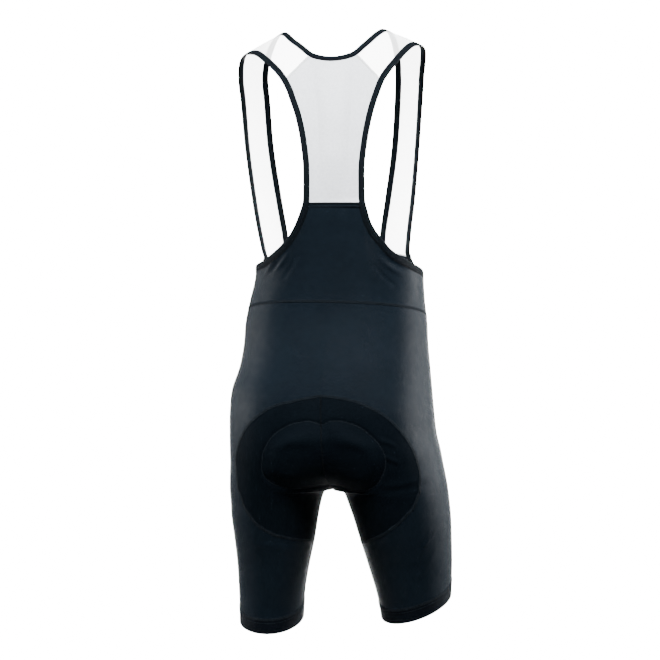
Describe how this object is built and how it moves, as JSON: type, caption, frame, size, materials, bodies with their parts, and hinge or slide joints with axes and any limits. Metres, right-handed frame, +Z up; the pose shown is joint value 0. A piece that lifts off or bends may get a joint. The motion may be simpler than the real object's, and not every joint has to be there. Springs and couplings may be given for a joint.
{
  "type": "cycling bib shorts",
  "caption": "Sleeveless cycling bib shorts in worn shape: white mesh straps and back, dark stretch yoke and shorts, seat insert with pad, elastic leg bands.",
  "frame": {"origin": "midway between the two straps at the height where the shoulders carry them", "axes": "+Z up along the standing wearer, -Y the wearer's front, +X the wearer's left"},
  "size_m": [0.3558, 0.2462, 0.9656],
  "materials": {
    "mesh": "fine white knitted mesh",
    "lycra": "smooth blue-black stretch knit with a soft sheen",
    "insert": "darker, duller stretch knit",
    "pad": "brushed cloth over foam",
    "band": "thicker elastic band",
    "binding": "folded elastic binding with fine ribs"
  },
  "bodies": {
    "root": {"bib_back": "mesh", "strap_left": "mesh", "strap_right": "mesh", "back_yoke": "lycra", "front_yoke": "lycra", "shorts_main": "lycra", "shorts_front_left": "lycra", "shorts_front_right": "lycra", "seat_insert_left": "insert", "seat_insert_right": "insert", "seat_pad": "pad", "hem_left": "band", "hem_right": "band", "neck_binding": "binding", "armhole_binding_left": "binding", "armhole_binding_right": "binding"}
  },
  "joints": []
}
